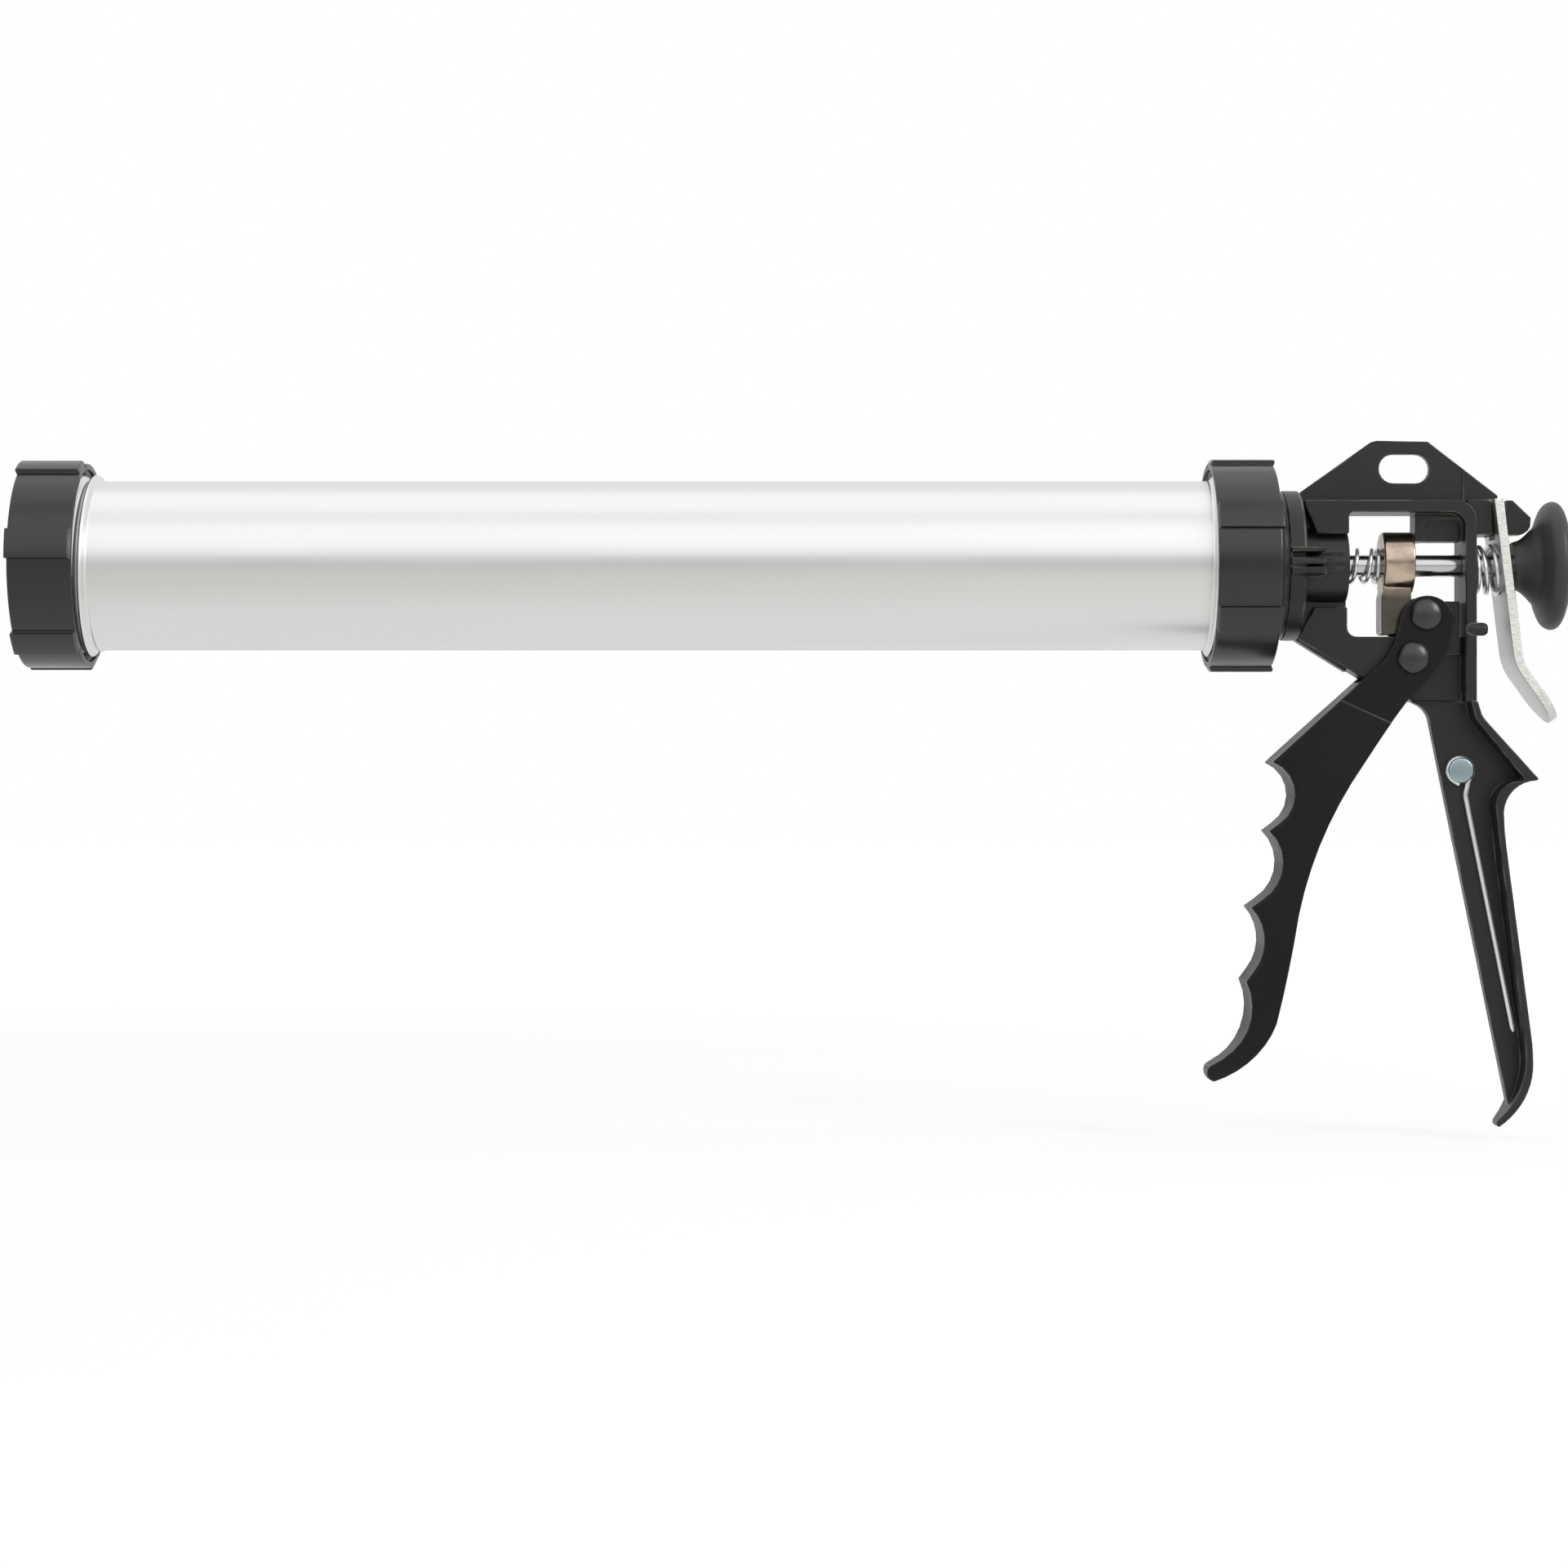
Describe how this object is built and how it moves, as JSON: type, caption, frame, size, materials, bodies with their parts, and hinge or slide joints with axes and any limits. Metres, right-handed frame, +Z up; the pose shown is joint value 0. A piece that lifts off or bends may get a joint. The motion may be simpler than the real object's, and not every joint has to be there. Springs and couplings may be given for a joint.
{
  "type": "caulking gun",
  "caption": "Caulking gun for foil packs: closed aluminium barrel with ribbed ring nuts, cast handle with window and hanging slot, squeeze trigger, clutch, piston rod and release lever.",
  "frame": {"origin": "centre of the nozzle bore at the front ring nut's outer face", "axes": "-X points out of the nozzle bore along the barrel, +X runs towards the push knob, +Z is up away from the grip, Y runs across the gun"},
  "size_m": [0.493, 0.0678, 0.2191],
  "materials": {
    "anodised_aluminium": "clear anodised, satin",
    "ring_plastic": "moulded, satin charcoal",
    "nylon": "natural nylon",
    "black_powder_coat": "die-cast alloy, satin black powder coat",
    "blackened_steel": "blackened, satin",
    "zinc_plated_steel": "bright zinc plated",
    "spring_steel": "zinc plated spring wire",
    "bronze_chromate": "bronze coloured chromate, satin",
    "piston_plastic": "moulded polyethylene",
    "knob_plastic": "moulded, matt black"
  },
  "bodies": {
    "handle": {"frame": "black_powder_coat", "pivot_pin": "blackened_steel", "return_spring": "spring_steel", "brake_spring": "spring_steel", "needle_rivet": "zinc_plated_steel", "swivel_washer": "nylon"},
    "barrel": {"barrel_tube": "anodised_aluminium", "rear_ring": "ring_plastic"},
    "front_nut": {"front_ring": "ring_plastic"},
    "rod": {"piston_rod": "zinc_plated_steel", "rod_collar": "zinc_plated_steel", "piston_back_plate": "zinc_plated_steel", "piston_cup": "piston_plastic", "piston_front_plate": "zinc_plated_steel", "piston_nut": "zinc_plated_steel", "push_knob": "knob_plastic"},
    "trigger": {"trigger": "black_powder_coat", "drive_pin": "blackened_steel", "drive_bush": "zinc_plated_steel"},
    "drive_block": {"drive_block": "bronze_chromate"},
    "release_lever": {"release_lever": "zinc_plated_steel"},
    "needle": {"piercing_needle": "spring_steel"}
  },
  "joints": [
    {"name": "barrel_turn", "type": "hinge", "parent": "handle", "child": "barrel", "pos_m": [0.3967, 0, 0], "axis": [1, 0, 0], "continuous": true},
    {"name": "front_nut_off", "type": "slide", "parent": "barrel", "child": "front_nut", "axis": [-1, 0, 0], "range_m": [0, 0.045]},
    {"name": "rod_slide", "type": "slide", "parent": "handle", "child": "rod", "axis": [1, 0, 0], "range_m": [0, 0.355]},
    {"name": "trigger_pull", "type": "hinge", "parent": "handle", "child": "trigger", "pos_m": [0.4417, 0, -0.0296], "axis": [0, -1, 0], "range_deg": [0, 28], "stiffness_Nm_per_rad": 1.2, "springref_deg": -8.59},
    {"name": "block_feed", "type": "slide", "parent": "handle", "child": "drive_block", "axis": [-1, 0, 0], "range_m": [0, 0.0072], "deforming": ["return_spring"]},
    {"name": "lever_press", "type": "hinge", "parent": "handle", "child": "release_lever", "pos_m": [0.46881, 0, 0.0174], "axis": [0, 1, 0], "range_deg": [0, 6], "stiffness_Nm_per_rad": 0.6, "springref_deg": -11.46, "deforming": ["brake_spring"]},
    {"name": "needle_swing", "type": "hinge", "parent": "handle", "child": "needle", "pos_m": [0.4575, -0.0037, -0.0653], "axis": [0, 1, 0], "range_deg": [0, 14]}
  ],
  "couplings": [
    {"joint": "block_feed", "follows": "trigger_pull", "m_per_rad": 0.01395}
  ]
}
